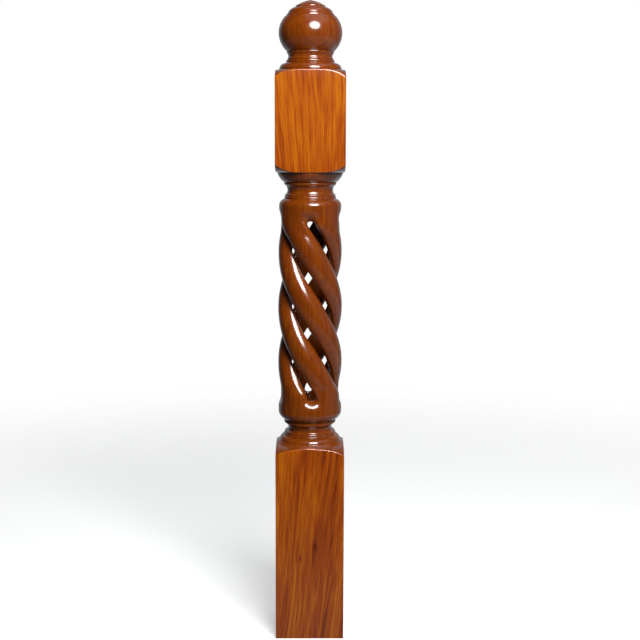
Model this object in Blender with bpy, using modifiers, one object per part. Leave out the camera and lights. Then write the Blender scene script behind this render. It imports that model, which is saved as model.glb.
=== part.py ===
# Barley twist newel post: one carved piece of hardwood, standing on its square foot.
# A square bar is turned to three moulded necks and a ball finial, and the length between
# the two lower necks is bored out and carved into four open strands that wind together.
# Metres, +Z up, origin at the middle of the underside.

import math
from collections import namedtuple

import bmesh
import bpy
from mathutils import Vector

COLLECTION = "barley_twist_newel_post"
NODE = "newel_post"

# The square stock. Every turned radius below is given as a depth under its flat faces.
BLOCK_WIDTH = 0.130
EDGE_EASE = 0.0012

# Lengths of the blocks, and the rise and curve of the turned shoulders from corner to face
FOOT_BLOCK_LENGTH = 0.361
RAIL_BLOCK_LENGTH = 0.1584
FOOT_SHOULDER_RISE = 0.0126
FOOT_SHOULDER_POWER = 1.6
RAIL_SHOULDER_RISE = 0.0150
RAIL_SHOULDER_POWER = 2.1

# The mouldings of a neck, from the body above it down to the body below it
Neck = namedtuple(
    "Neck",
    "bead_depth bead_height cove_depth cove_height cove_hollow cove_flare "
    "step_depth step_height collar_depth collar_height quirk",
)
UPPER_NECK = Neck(
    bead_depth=0.0158,
    bead_height=0.0038,
    cove_depth=0.0190,
    cove_height=0.0150,
    cove_hollow=0.0024,
    cove_flare=0.0012,
    step_depth=0.0178,
    step_height=0.0028,
    collar_depth=0.0167,
    collar_height=0.0038,
    quirk=0.0012,
)
LOWER_NECK = Neck(
    bead_depth=0.0155,
    bead_height=0.0062,
    cove_depth=0.0190,
    cove_height=0.0136,
    cove_hollow=0.0026,
    cove_flare=0.0030,
    step_depth=0.0172,
    step_height=0.0028,
    collar_depth=0.0155,
    collar_height=0.0028,
    quirk=0.0012,
)
FINIAL_NECK = Neck(
    bead_depth=0.0212,
    bead_height=0.0024,
    cove_depth=0.0222,
    cove_height=0.0074,
    cove_hollow=0.0010,
    cove_flare=0.0012,
    step_depth=0.0226,
    step_height=0.0028,
    collar_depth=0.0203,
    collar_height=0.0045,
    quirk=0.0008,
)
BEAD_BULGE = 0.0002
STEP_BULGE = 0.0006
QUIRKS_PER_NECK = 6

# Rounded ends of the bodies beside the necks
UNDERSIDE_DEPTH = 0.0140
RAIL_LEDGE_DEPTH = 0.0028
RAIL_UNDERSIDE_HEIGHT = 0.0177
RAIL_UNDERSIDE_BULGE = 0.0014
UPPER_OVOLO_DEPTH = 0.0150
UPPER_OVOLO_HEIGHT = 0.0132
UPPER_OVOLO_BULGE = 0.0026
RIM_UNDERSIDE_HEIGHT = 0.0170
RIM_UNDERSIDE_BULGE = 0.0030
FOOT_OVOLO_DEPTH = 0.0138
FOOT_OVOLO_HEIGHT = 0.0138
FOOT_OVOLO_BULGE = 0.0017
FOOT_LEDGE_DEPTH = 0.0058
FOOT_LEDGE_RISE = 0.0050
FILLET = 0.0012

# The twist: the turned blank, its four strands, the slots between them and the bore
TWIST_LENGTH = 0.382
TWIST_PITCH = 0.4265
TWIST_PHASE = math.radians(1.8)
STRANDS = 4
UPPER_RIM_DEPTH = 0.0062
MIDDLE_DEPTH = 0.0042
LOWER_RIM_DEPTH = 0.0046
UPPER_COLLAR = 0.0020
LOWER_COLLAR = 0.0070
STRAND_EDGE_DEPTH = 0.0185
STRAND_WALL = 0.0074
SLOT_WIDTH = 0.0153
SLOT_END = 0.0065
UPPER_FULLNESS = 2.2
LOWER_FULLNESS = 2.2
UPPER_DISH_FULLNESS = 0.85
LOWER_DISH_FULLNESS = 1.0
FADE_LENGTH = 0.036
UPPER_DISH = 0.0245
LOWER_DISH = 0.0170
STRAIGHT_END = 0.016
EASE_LENGTH = 0.025
UPPER_FLANK = math.radians(34)
LOWER_FLANK = math.radians(10)
BORE_OVERRUN = 0.012
BORE_DOME = 0.012
BORE_DOME_BULGE = 0.0035

# The finial: ovolo foot, neck, ball and stepped cap
FINIAL_OVOLO_DEPTH = 0.0185
FINIAL_OVOLO_HEIGHT = 0.0108
FINIAL_OVOLO_BULGE = 0.0030
FINIAL_FOOT_DEPTH = 0.0066
FINIAL_UNDERCUT = 0.0006
BALL_DEPTH = 0.0058
BALL_HALF_HEIGHT = 0.0505
BALL_FOOT_DEPTH = 0.0206
BALL_CROWN_DEPTH = 0.0175
CAP_RING_DEPTH = 0.0198
CAP_RING_HEIGHT = 0.0052
CAP_PLATE_DEPTH = 0.0236
CAP_PLATE_HEIGHT = 0.0024
CAP_SLOPE_HEIGHT = 0.0084
CAP_BUTTON_DEPTH = 0.0372
CAP_BUTTON_EDGE = 0.0018
CAP_BUTTON_HEIGHT = 0.0110
CAP_BULGE = 0.0014
CAP_LEDGE = 0.0024

# How finely the faceted solid follows the curves
TURNING_STEPS = 32
ARC_STEP = math.radians(32)
BALL_ROWS = 8
STRAND_ROWS = 24
STRAND_RINGS = 4
WALL_RINGS = 1
BORE_RINGS = 2
WELD = 0.00001
SHARP_ANGLE = math.radians(32)

# Clear room around what a cutter trims
OVERCUT = 0.004

WOOD_COLOUR = (0.27, 0.075, 0.018, 1.0)
WOOD_ROUGHNESS = 0.22

HALF = BLOCK_WIDTH / 2
CORNER = HALF * math.sqrt(2)
BLANK = CORNER + OVERCUT


def radius(depth):
    """Radius of a turned surface that lies this far under the block's faces."""
    return HALF - depth


def neck_height(neck):
    """Height of a neck's mouldings between the bodies above and below it."""
    parts = (neck.bead_height, neck.cove_height, neck.step_height, neck.collar_height)
    return sum(parts) + QUIRKS_PER_NECK * neck.quirk


# Heights of the bodies, stacked from the floor up
FOOT_CORNER = FOOT_BLOCK_LENGTH
FOOT_APEX = FOOT_CORNER + FOOT_SHOULDER_RISE
LOWER_NECK_FOOT = FOOT_APEX + FILLET + FOOT_OVOLO_HEIGHT
LOWER_NECK_TOP = LOWER_NECK_FOOT + neck_height(LOWER_NECK)
LOWER_RIM = LOWER_NECK_TOP + RIM_UNDERSIDE_HEIGHT
TWIST_FOOT = LOWER_RIM + LOWER_COLLAR
TWIST_MIDDLE = TWIST_FOOT + TWIST_LENGTH / 2
TWIST_TOP = TWIST_FOOT + TWIST_LENGTH
UPPER_RIM = TWIST_TOP + UPPER_COLLAR
UPPER_NECK_FOOT = UPPER_RIM + UPPER_OVOLO_HEIGHT
UPPER_NECK_TOP = UPPER_NECK_FOOT + neck_height(UPPER_NECK)
RAIL_LOWER_APEX = UPPER_NECK_TOP + RAIL_UNDERSIDE_HEIGHT
RAIL_LOWER_CORNER = RAIL_LOWER_APEX + RAIL_SHOULDER_RISE
RAIL_UPPER_CORNER = RAIL_LOWER_CORNER + RAIL_BLOCK_LENGTH
RAIL_UPPER_APEX = RAIL_UPPER_CORNER + RAIL_SHOULDER_RISE
FINIAL_OVOLO_FOOT = RAIL_UPPER_APEX + 2 * FILLET
FINIAL_NECK_FOOT = FINIAL_OVOLO_FOOT + FINIAL_OVOLO_HEIGHT
FINIAL_NECK_TOP = FINIAL_NECK_FOOT + neck_height(FINIAL_NECK)


def ball_rise(depth):
    """Height above the ball's middle at which its surface lies at this depth."""
    return BALL_HALF_HEIGHT * math.sqrt(1 - (radius(depth) / radius(BALL_DEPTH)) ** 2)


BALL_MIDDLE = FINIAL_NECK_TOP + ball_rise(BALL_FOOT_DEPTH)
CAP_FOOT = BALL_MIDDLE + ball_rise(BALL_CROWN_DEPTH)


def arc(start, end, bulge):
    """Points after start on a circular arc to end, swelling outwards by bulge on the way down."""
    chord = end - start
    if bulge == 0:
        return [end]
    circle_radius = (chord.length ** 2 / 4 + bulge ** 2) / (2 * abs(bulge))
    sweep = 2 * math.asin(min(1.0, chord.length / (2 * circle_radius)))
    steps = max(2, math.ceil(sweep / ARC_STEP))
    outward = Vector((-chord.y, chord.x)).normalized() * math.copysign(1, bulge)
    centre = (start + end) / 2 - outward * (circle_radius - abs(bulge))
    points = []
    for step in range(1, steps + 1):
        angle = sweep * (step / steps - 0.5)
        along = chord.normalized() * circle_radius * math.sin(angle)
        points.append(centre + along + outward * circle_radius * math.cos(angle))
    return points


def trace(strokes):
    """Profile points from strokes of (radius, height, bulge), which run from the top down."""
    points = [Vector(strokes[0][:2])]
    for stroke_radius, height, bulge in strokes[1:]:
        points += arc(points[-1], Vector((stroke_radius, height)), bulge)
    return points


def neck_strokes(neck, top):
    """Bead, cove, step and collar of one neck, with a quirk cut between them."""
    z = top
    strokes = [(radius(neck.bead_depth) - neck.quirk, z, 0)]
    z -= neck.quirk
    strokes.append((radius(neck.bead_depth), z, 0))
    z -= neck.bead_height
    strokes.append((radius(neck.bead_depth), z, BEAD_BULGE))
    z -= neck.quirk
    strokes.append((radius(neck.cove_depth), z - neck.quirk, 0))
    z -= neck.quirk + neck.cove_height
    strokes.append((radius(neck.cove_depth) - neck.cove_flare, z, -neck.cove_hollow))
    z -= neck.quirk
    strokes.append((radius(neck.step_depth), z, 0))
    z -= neck.step_height
    strokes.append((radius(neck.step_depth), z, STEP_BULGE))
    z -= neck.quirk
    strokes.append((radius(neck.collar_depth), z, 0))
    z -= neck.collar_height
    strokes.append((radius(neck.collar_depth), z, STEP_BULGE))
    return strokes


def shoulder(apex, corner, power):
    """A turned shoulder, from the middles of the square's faces out past its corners."""
    between = (HALF + CORNER) / 2
    middle = apex + (corner - apex) * 0.5 ** power
    run_out = corner + (corner - middle) * OVERCUT / (CORNER - between)
    return [(HALF, apex, 0), (between, middle, 0), (BLANK, run_out, 0)]


def cap_strokes():
    """Button, sloping plate and ring on the crown of the ball."""
    ring_top = CAP_FOOT + CAP_RING_HEIGHT
    plate_top = ring_top + CAP_PLATE_HEIGHT
    slope_top = plate_top + CAP_SLOPE_HEIGHT
    button_foot = slope_top + CAP_LEDGE / 2
    button_edge = radius(CAP_BUTTON_DEPTH)
    return [
        (0, button_foot + CAP_BUTTON_EDGE + CAP_BUTTON_HEIGHT, 0),
        (button_edge, button_foot + CAP_BUTTON_EDGE, CAP_BULGE),
        (button_edge, button_foot, 0),
        (button_edge + CAP_LEDGE, slope_top, 0),
        (radius(CAP_PLATE_DEPTH), plate_top, CAP_BULGE),
        (radius(CAP_PLATE_DEPTH), ring_top, 0),
        (radius(CAP_RING_DEPTH) - CAP_LEDGE / 2, ring_top - CAP_LEDGE / 2, 0),
        (radius(CAP_RING_DEPTH), CAP_FOOT, BEAD_BULGE),
    ]


def ball_points():
    """The squashed ball between its cap and its neck."""
    top = math.asin(ball_rise(BALL_CROWN_DEPTH) / BALL_HALF_HEIGHT)
    foot = -math.asin(ball_rise(BALL_FOOT_DEPTH) / BALL_HALF_HEIGHT)
    points = []
    for row in range(BALL_ROWS + 1):
        angle = top + (foot - top) * row / BALL_ROWS
        across = radius(BALL_DEPTH) * math.cos(angle)
        points.append(Vector((across, BALL_MIDDLE + BALL_HALF_HEIGHT * math.sin(angle))))
    return points


def upper_profile():
    """Everything turned above the twist, from the top of the cap down."""
    finial_foot = radius(FINIAL_FOOT_DEPTH)
    below_ball = neck_strokes(FINIAL_NECK, FINIAL_NECK_TOP)
    below_ball += [
        (radius(FINIAL_OVOLO_DEPTH), FINIAL_NECK_FOOT, 0),
        (finial_foot, FINIAL_OVOLO_FOOT, FINIAL_OVOLO_BULGE),
        (finial_foot - FINIAL_UNDERCUT, RAIL_UPPER_APEX + FINIAL_UNDERCUT, 0),
    ]
    below_ball += shoulder(RAIL_UPPER_APEX, RAIL_UPPER_CORNER, RAIL_SHOULDER_POWER)
    below_ball += reversed(shoulder(RAIL_LOWER_APEX, RAIL_LOWER_CORNER, RAIL_SHOULDER_POWER))
    below_ball += [
        (radius(RAIL_LEDGE_DEPTH), RAIL_LOWER_APEX - FILLET, 0),
        (radius(UNDERSIDE_DEPTH), UPPER_NECK_TOP, RAIL_UNDERSIDE_BULGE),
    ]
    below_ball += neck_strokes(UPPER_NECK, UPPER_NECK_TOP)
    below_ball += [
        (radius(UPPER_OVOLO_DEPTH), UPPER_NECK_FOOT, 0),
        (radius(UPPER_RIM_DEPTH), UPPER_RIM, UPPER_OVOLO_BULGE),
        (radius(UPPER_RIM_DEPTH), TWIST_TOP, 0),
    ]
    return trace(cap_strokes()) + ball_points() + trace(below_ball)


def lower_profile():
    """Everything turned below the twist, down to the underside of the foot."""
    strokes = [
        (radius(LOWER_RIM_DEPTH), TWIST_FOOT, 0),
        (radius(LOWER_RIM_DEPTH), LOWER_RIM, 0),
        (radius(UNDERSIDE_DEPTH), LOWER_NECK_TOP, RIM_UNDERSIDE_BULGE),
    ]
    strokes += neck_strokes(LOWER_NECK, LOWER_NECK_TOP)
    strokes += [
        (radius(FOOT_OVOLO_DEPTH), LOWER_NECK_FOOT, 0),
        (radius(FOOT_LEDGE_DEPTH), FOOT_APEX + FOOT_LEDGE_RISE, FOOT_OVOLO_BULGE),
    ]
    strokes += shoulder(FOOT_APEX, FOOT_CORNER, FOOT_SHOULDER_POWER)
    strokes += [(BLANK, 0, 0), (0, 0, 0)]
    return trace(strokes)


def strand_edge():
    """Radius at which a strand is widest and its rounded back begins."""
    return radius(STRAND_EDGE_DEPTH)


def bore_radius():
    """Radius of the hollow core, inside the strands' inner walls."""
    return strand_edge() - STRAND_WALL


def slot_half_angle(away):
    """Half of the angle that the parallel-sided slot takes up at this radius."""
    return math.asin(SLOT_WIDTH / 2 / away)


def slot_reach(up):
    """Height from the middle of the twist to the upper or the lower end of the slots."""
    return TWIST_LENGTH / 2 - (UPPER_DISH if up > 0 else LOWER_DISH)


def fullness(across, up):
    """Exponent of the rounding beside a slot: wide beyond its ends, tight at their corners."""
    end = UPPER_FULLNESS if up > 0 else LOWER_FULLNESS
    dish = UPPER_DISH_FULLNESS if up > 0 else LOWER_DISH_FULLNESS
    if abs(up) == 1:
        return dish + (end - dish) * across ** 2
    from_end = (1 - abs(up)) * slot_reach(up)
    share = max(0, 1 - from_end / FADE_LENGTH)
    return 1 + (end - 1) * share * share * (3 - 2 * share)


def turn_at(height):
    """Angle of the strands at a height. They wind left-handed and straighten at both ends."""
    offset = height - TWIST_MIDDLE
    straight = TWIST_LENGTH / 2 - STRAIGHT_END
    easing = straight - EASE_LENGTH
    distance = min(abs(offset), straight)
    wound = distance
    if distance > easing:
        wound -= (distance - easing) ** 2 / (2 * EASE_LENGTH)
    return TWIST_PHASE - math.copysign(wound, offset) * 2 * math.pi / TWIST_PITCH


def blank_radius(height):
    """Radius of the turned blank along the twist: a slight swell between its two rims."""
    share = (height - TWIST_FOOT) / TWIST_LENGTH
    foot, middle, top = (radius(d) for d in (LOWER_RIM_DEPTH, MIDDLE_DEPTH, UPPER_RIM_DEPTH))
    swell = 4 * (middle - (foot + top) / 2) * share * (1 - share)
    return foot + (top - foot) * share + swell


def around(step):
    """Place of a step round a slot's panel, across it and up it, as shares from -1 to 1."""
    columns = TURNING_STEPS // STRANDS
    if step <= columns:
        return -1 + 2 * step / columns, 1
    step -= columns
    if step <= STRAND_ROWS:
        return 1, 1 - 2 * step / STRAND_ROWS
    step -= STRAND_ROWS
    if step <= columns:
        return 1 - 2 * step / columns, -1
    return -1, -1 + 2 * (step - columns) / STRAND_ROWS


def panel_point(step, ring):
    """A point of one slot's panel.

    Steps run round the slot. Rings run from the crowns of the strands on both sides of it,
    over their rounded edges, through the wall and round the bore behind them.
    """
    across, up = around(step)
    if ring <= STRAND_RINGS:
        start = UPPER_FLANK + (LOWER_FLANK - UPPER_FLANK) * (1 + across) / 2
        rounding = math.pi / 2 - (math.pi / 2 - start) * ring / STRAND_RINGS
        share = max(0, 1 - math.cos(rounding) / math.cos(start)) ** fullness(across, up)
        reach = TWIST_LENGTH / 2
        wall = strand_edge()
    else:
        share = max(0, (ring - STRAND_RINGS - WALL_RINGS) / BORE_RINGS)
        reach = slot_reach(up) + BORE_OVERRUN
        wall = strand_edge() - STRAND_WALL * min(1, (ring - STRAND_RINGS) / WALL_RINGS)
    slot_angle = slot_half_angle(wall) * across
    slot_height = up * (slot_reach(up) - SLOT_END)
    if abs(up) == 1:
        slot_angle = slot_half_angle(wall) * math.sin(across * math.pi / 2)
        slot_height += up * SLOT_END * math.cos(across * math.pi / 2)
    angle = slot_angle + (math.pi / STRANDS * across - slot_angle) * share
    height = TWIST_MIDDLE + slot_height + (up * reach - slot_height) * share
    if ring <= STRAND_RINGS:
        rise = (math.sin(rounding) - math.sin(start)) / (1 - math.sin(start))
        wall += (blank_radius(height) - wall) * rise
    return angle, height, wall


def slot_panel(bm, slot):
    """One slot with the halves of the two strands beside it, from a sheet wrapped round the post."""
    steps = 2 * (STRAND_ROWS + TURNING_STEPS // STRANDS)
    rings = STRAND_RINGS + WALL_RINGS + BORE_RINGS
    sheet = bmesh.ops.create_grid(bm, x_segments=steps, y_segments=rings, size=1)
    for vert in sheet["verts"]:
        step = round((vert.co.x + 1) / 2 * steps) % steps
        ring = round((vert.co.y + 1) / 2 * rings)
        angle, height, away = panel_point(step, ring)
        angle += (slot + 0.5) * 2 * math.pi / STRANDS + turn_at(height) - math.pi / 2
        vert.co = (away * math.cos(angle), away * math.sin(angle), height)
    faces = list({face for vert in sheet["verts"] for face in vert.link_faces})
    bmesh.ops.triangulate(bm, faces=faces, quad_method="SHORT_EDGE")


def turned(points, start_angle):
    """Mesh of an open surface, turned from a profile by a Screw modifier."""
    verts = []
    for point in points:
        across = point.x
        verts.append((across * math.cos(start_angle), across * math.sin(start_angle), point.y))
    edges = [(index, index + 1) for index in range(len(verts) - 1)]
    line = bpy.data.meshes.new("profile")
    line.from_pydata(verts, edges, [])
    holder = bpy.data.objects.new("profile", line)
    bpy.context.scene.collection.objects.link(holder)
    screw = holder.modifiers.new("Turning", "SCREW")
    screw.axis = "Z"
    screw.angle = 2 * math.pi
    screw.screw_offset = 0
    screw.steps = TURNING_STEPS
    screw.render_steps = TURNING_STEPS
    screw.use_merge_vertices = True
    screw.merge_threshold = WELD
    bpy.context.view_layer.update()
    evaluated = holder.evaluated_get(bpy.context.evaluated_depsgraph_get())
    mesh = bpy.data.meshes.new_from_object(evaluated)
    bpy.data.objects.remove(holder)
    bpy.data.meshes.remove(line)
    return mesh


def bore_dome(sign):
    """Profile of the bore's rounded end, above the slots or below them."""
    rim = TWIST_MIDDLE + sign * (slot_reach(sign) + BORE_OVERRUN)
    start = Vector((0, rim + sign * BORE_DOME))
    return [start] + arc(start, Vector((bore_radius(), rim)), sign * BORE_DOME_BULGE)


def carved_mesh():
    """The turned parts, the strands and the bore, welded into one closed surface."""
    seam = -math.pi / 2
    pieces = [
        turned(upper_profile(), seam + turn_at(TWIST_TOP)),
        turned(lower_profile(), seam + turn_at(TWIST_FOOT)),
        turned(bore_dome(1), seam + turn_at(TWIST_TOP)),
        turned(bore_dome(-1), seam + turn_at(TWIST_FOOT)),
    ]
    bm = bmesh.new()
    for piece in pieces:
        bm.from_mesh(piece)
        bpy.data.meshes.remove(piece)
    for slot in range(STRANDS):
        slot_panel(bm, slot)
    bmesh.ops.remove_doubles(bm, verts=bm.verts, dist=WELD)
    bmesh.ops.recalc_face_normals(bm, faces=bm.faces)
    mesh = bpy.data.meshes.new(NODE)
    bm.to_mesh(mesh)
    bm.free()
    mesh.shade_smooth()
    mesh.set_sharp_from_angle(angle=SHARP_ANGLE)
    return mesh


def square_bar(collection, top):
    """The square stock that the blocks keep, with eased edges, as a cutter."""
    low = -OVERCUT
    high = top + OVERCUT
    bpy.ops.mesh.primitive_cube_add(size=1, location=(0, 0, (low + high) / 2))
    bar = bpy.context.active_object
    bar.name = "square_bar"
    bar.scale = (BLOCK_WIDTH, BLOCK_WIDTH, high - low)
    bpy.ops.object.transform_apply(location=False, rotation=False, scale=True)
    ease = bar.modifiers.new("Eased edges", "BEVEL")
    ease.width = EDGE_EASE
    ease.segments = 1
    for holder in list(bar.users_collection):
        holder.objects.unlink(bar)
    collection.objects.link(bar)
    bar.hide_render = True
    bar.display_type = "WIRE"
    return bar


def lacquered_wood():
    """Red-brown hardwood under a clear gloss lacquer."""
    material = bpy.data.materials.new("lacquered_hardwood")
    material.use_nodes = True
    shader = material.node_tree.nodes["Principled BSDF"]
    shader.inputs["Base Color"].default_value = WOOD_COLOUR
    shader.inputs["Roughness"].default_value = WOOD_ROUGHNESS
    shader.inputs["Metallic"].default_value = 0
    return material


def new_collection(name):
    collection = bpy.data.collections.new(name)
    bpy.context.scene.collection.children.link(collection)
    return collection


def main():
    for leftover in list(bpy.data.objects):
        bpy.data.objects.remove(leftover)
    parts = new_collection(COLLECTION)
    cutters = new_collection("cutters")
    post = bpy.data.objects.new(NODE, carved_mesh())
    post.data.materials.append(lacquered_wood())
    parts.objects.link(post)
    top = max(vert.co.z for vert in post.data.vertices)
    squaring = post.modifiers.new("Square blocks", "BOOLEAN")
    squaring.operation = "INTERSECT"
    squaring.solver = "EXACT"
    squaring.object = square_bar(cutters, top)


main()
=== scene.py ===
# Barley twist newel post: its turned, carved and lacquered surface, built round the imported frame.
# The post is one piece of hardwood, so one closed mesh stands for the one CAD node.
# Metres, +Z up, origin at the middle of the underside, -Y the face seen in the photograph.

import math
from collections import namedtuple

import bmesh
import bpy
from bpy.props import FloatProperty, FloatVectorProperty, PointerProperty
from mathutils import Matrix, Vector


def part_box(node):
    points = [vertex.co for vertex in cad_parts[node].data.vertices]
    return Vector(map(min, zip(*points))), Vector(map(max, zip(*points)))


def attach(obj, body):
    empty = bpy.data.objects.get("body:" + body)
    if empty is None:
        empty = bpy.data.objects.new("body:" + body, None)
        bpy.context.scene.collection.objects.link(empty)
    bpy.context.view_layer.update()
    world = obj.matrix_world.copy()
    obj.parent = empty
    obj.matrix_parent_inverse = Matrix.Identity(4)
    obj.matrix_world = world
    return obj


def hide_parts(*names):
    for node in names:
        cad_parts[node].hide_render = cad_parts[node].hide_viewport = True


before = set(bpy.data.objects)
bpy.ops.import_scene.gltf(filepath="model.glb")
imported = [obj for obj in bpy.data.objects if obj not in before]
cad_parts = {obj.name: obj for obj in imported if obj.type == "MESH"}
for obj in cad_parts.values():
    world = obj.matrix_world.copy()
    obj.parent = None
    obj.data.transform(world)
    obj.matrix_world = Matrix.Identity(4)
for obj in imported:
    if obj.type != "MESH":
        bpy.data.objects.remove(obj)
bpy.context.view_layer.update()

bl_info = {
    "name": "Barley Twist Newel Post",
    "version": (1, 0, 0),
    "blender": (4, 5, 0),
    "location": "View3D > Sidebar > Newel Post",
    "description": "Builds a lacquered newel post with an open barley twist, and a studio for it",
    "category": "Add Mesh",
}

CAD_NODE = "newel_post"
BODY = "root"
PLANED = "planed"
CAD_LOW, CAD_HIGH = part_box(CAD_NODE)

# The mouldings of a neck, from the body above it down to the body below it
Neck = namedtuple(
    "Neck",
    "bead_depth bead_height cove_depth cove_height cove_hollow cove_flare "
    "step_depth step_height collar_depth collar_height quirk",
)
UPPER_NECK = Neck(
    bead_depth=0.0158,
    bead_height=0.0038,
    cove_depth=0.0190,
    cove_height=0.0150,
    cove_hollow=0.0024,
    cove_flare=0.0012,
    step_depth=0.0178,
    step_height=0.0028,
    collar_depth=0.0167,
    collar_height=0.0038,
    quirk=0.0012,
)
LOWER_NECK = Neck(
    bead_depth=0.0155,
    bead_height=0.0062,
    cove_depth=0.0190,
    cove_height=0.0136,
    cove_hollow=0.0026,
    cove_flare=0.0030,
    step_depth=0.0172,
    step_height=0.0028,
    collar_depth=0.0155,
    collar_height=0.0028,
    quirk=0.0012,
)
FINIAL_NECK = Neck(
    bead_depth=0.0212,
    bead_height=0.0024,
    cove_depth=0.0222,
    cove_height=0.0074,
    cove_hollow=0.0010,
    cove_flare=0.0012,
    step_depth=0.0226,
    step_height=0.0028,
    collar_depth=0.0203,
    collar_height=0.0045,
    quirk=0.0008,
)
BEAD_BULGE = 0.0002
STEP_BULGE = 0.0006
QUIRKS_PER_NECK = 6

# Shoulders and rounded ends of the bodies beside the necks
FOOT_SHOULDER_RISE = 0.0126
FOOT_SHOULDER_POWER = 1.6
RAIL_SHOULDER_RISE = 0.0150
RAIL_SHOULDER_POWER = 2.1
UNDERSIDE_DEPTH = 0.0140
RAIL_LEDGE_DEPTH = 0.0028
RAIL_UNDERSIDE_HEIGHT = 0.0177
RAIL_UNDERSIDE_BULGE = 0.0014
UPPER_OVOLO_DEPTH = 0.0150
UPPER_OVOLO_HEIGHT = 0.0132
UPPER_OVOLO_BULGE = 0.0026
RIM_UNDERSIDE_HEIGHT = 0.0170
RIM_UNDERSIDE_BULGE = 0.0030
FOOT_OVOLO_DEPTH = 0.0138
FOOT_OVOLO_HEIGHT = 0.0138
FOOT_OVOLO_BULGE = 0.0017
FOOT_LEDGE_DEPTH = 0.0058
FOOT_LEDGE_RISE = 0.0050
FOOT_LEDGE_QUIRK = 0.0008
FILLET = 0.0012

# The twist's turned blank and the ends of its slots
STRANDS = 4
TWIST_PHASE = math.radians(1.8)
UPPER_RIM_DEPTH = 0.0062
MIDDLE_DEPTH = 0.0042
LOWER_RIM_DEPTH = 0.0046
UPPER_COLLAR = 0.0020
LOWER_COLLAR = 0.0070
SLOT_END = 0.0065
UPPER_FULLNESS = 2.2
LOWER_FULLNESS = 2.2
UPPER_DISH_FULLNESS = 0.85
LOWER_DISH_FULLNESS = 1.0
FADE_LENGTH = 0.036
UPPER_DISH = 0.0245
LOWER_DISH = 0.0170
STRAIGHT_END = 0.016
EASE_LENGTH = 0.025
UPPER_FLANK = math.radians(34)
LOWER_FLANK = math.radians(10)
BORE_OVERRUN = 0.012
BORE_DOME = 0.012
BORE_DOME_BULGE = 0.0035

# The finial's foot, ball and stepped cap
FINIAL_OVOLO_DEPTH = 0.0185
FINIAL_OVOLO_HEIGHT = 0.0108
FINIAL_OVOLO_BULGE = 0.0030
FINIAL_FOOT_DEPTH = 0.0066
FINIAL_UNDERCUT = 0.0006
BALL_DEPTH = 0.0058
BALL_FOOT_DEPTH = 0.0206
BALL_CROWN_DEPTH = 0.0175
CAP_RING_DEPTH = 0.0198
CAP_RING_HEIGHT = 0.0052
CAP_PLATE_DEPTH = 0.0236
CAP_PLATE_HEIGHT = 0.0024
CAP_SLOPE_HEIGHT = 0.0084
CAP_BUTTON_DEPTH = 0.0372
CAP_BUTTON_EDGE = 0.0018
CAP_BUTTON_HEIGHT = 0.0110
CAP_BULGE = 0.0014
CAP_LEDGE = 0.0024

# One turned end of a block: the ring where its shoulder starts, the heights of the shoulder at
# the faces' middles and at the corners, the power of its curve between them, and the rounding
# of the arris where it meets the faces
BlockEnd = namedtuple("BlockEnd", "radius height apex corner power ease")

# Pin knots in the front of the foot block: where each is, how far it reaches and how far it
# pushes the grain aside
Knot = namedtuple("Knot", "place reach push")
PIN_KNOTS = (
    Knot(place=(-0.0186, -0.065, 0.160), reach=(0.0060, 0.03, 0.016), push=0.0045),
    Knot(place=(0.0100, -0.065, 0.184), reach=(0.0050, 0.03, 0.014), push=0.0035),
)
# How a knot's pull falls off with distance, and the power that leaves only its dark core
KNOT_FADE = 0.3679
KNOT_CORE = 5.0

# How finely the mesh follows the curves
TURNING_STEPS = 128
ARC_STEP = math.radians(9)
BALL_ROWS = 40
STRAND_ROWS = 96
OUTER_RINGS = 14
WALL_RINGS = 3
LIP_RINGS = 4
BORE_RINGS = 6
SHOULDER_ROWS = 12
ARRIS_ROWS = 4
FACE_ROWS = 4
CORNER_CROWDING = 0.8
EASE_STEPS = 3
WELD = 0.00001
PLANED_REACH = 0.003
PLANED_LEVEL = 0.6
CRISP_TURN = math.radians(24)
SHARP_ANGLE = math.radians(35)
EASE_SHARE = 0.4
ARRIS_OVERRUN = 1.5
FLOOR_SIDES = 96
BACKDROP_SIDES = 32

# Patterns in the wood. Growth rings just under 4 mm wide, streaks about 5 mm wide and 110 mm long
# and cloudy patches 60 mm wide are as in real wood. Real fibres are a few hundredths of a
# millimetre wide, too fine to show, so they are drawn as bundles about 2 mm wide.
# A seed only moves its pattern along.
STREAK_SIZE = (0.0052, 0.0052, 0.11)
CLOUD_SIZE = (0.06, 0.06, 0.22)
FIBRE_LENGTH = 0.05
WANDER_SEED = 3.1
STREAK_SEED = 11.7
FIBRE_SEED = 23.3
CLOUD_SEED = 41.9
FINE_DETAIL = 2.0
BROAD_DETAIL = 1.0
PATTERN_ROUGHNESS = 0.55
RING_DETAIL = 2.5
RING_ROUGHNESS = 0.6
NOISE_MIDDLE = 0.5

# Where the figure is at its darkest and lightest, and how much a knot's core darkens it
DARKEST_AT = 0.1
MID_AT = 0.5
LIGHTEST_AT = 0.9
KNOT_SHADE = 0.35

# Gloss: clear lacquer over a pigmented stain, whose fainter, rougher shine is matched
LACQUER_IOR = 1.5
STAIN_IOR = 1.9
STAIN_SPECULAR = 0.16
STAIN_ROUGHNESS = 0.2

# The camera's frame, and the small roll and turn that fitting it to the outline left
SENSOR_WIDTH = 36.0
FRAME_PIXELS = 640
PRINCIPAL_ROW = 297
CAMERA_ROLL = math.radians(0.155)
CAMERA_YAW = math.radians(0.455)

# The stage, and how far towards its own side a patch of the surround starts and reaches full strength
FLOOR_FADE = 0.4
FLOOR_ROUGHNESS = 0.9
FLOOR_SPECULAR = 0.1
BACKDROP_RADIUS = 30.0
TOP_GLOW_TOWARDS = (0.28, -0.18, 0.94)
BACK_REACH = (0.45, 0.9)
TOP_REACH = (0.75, 0.97)
SIDE_REACH = (0.6, 0.95)
FLOOR_LIGHT_REACH = (-0.7, 0.3)
HORIZON_REACH = (-0.318, -0.356)
FLOOR_LIGHT_LEAST = 0.4


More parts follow.
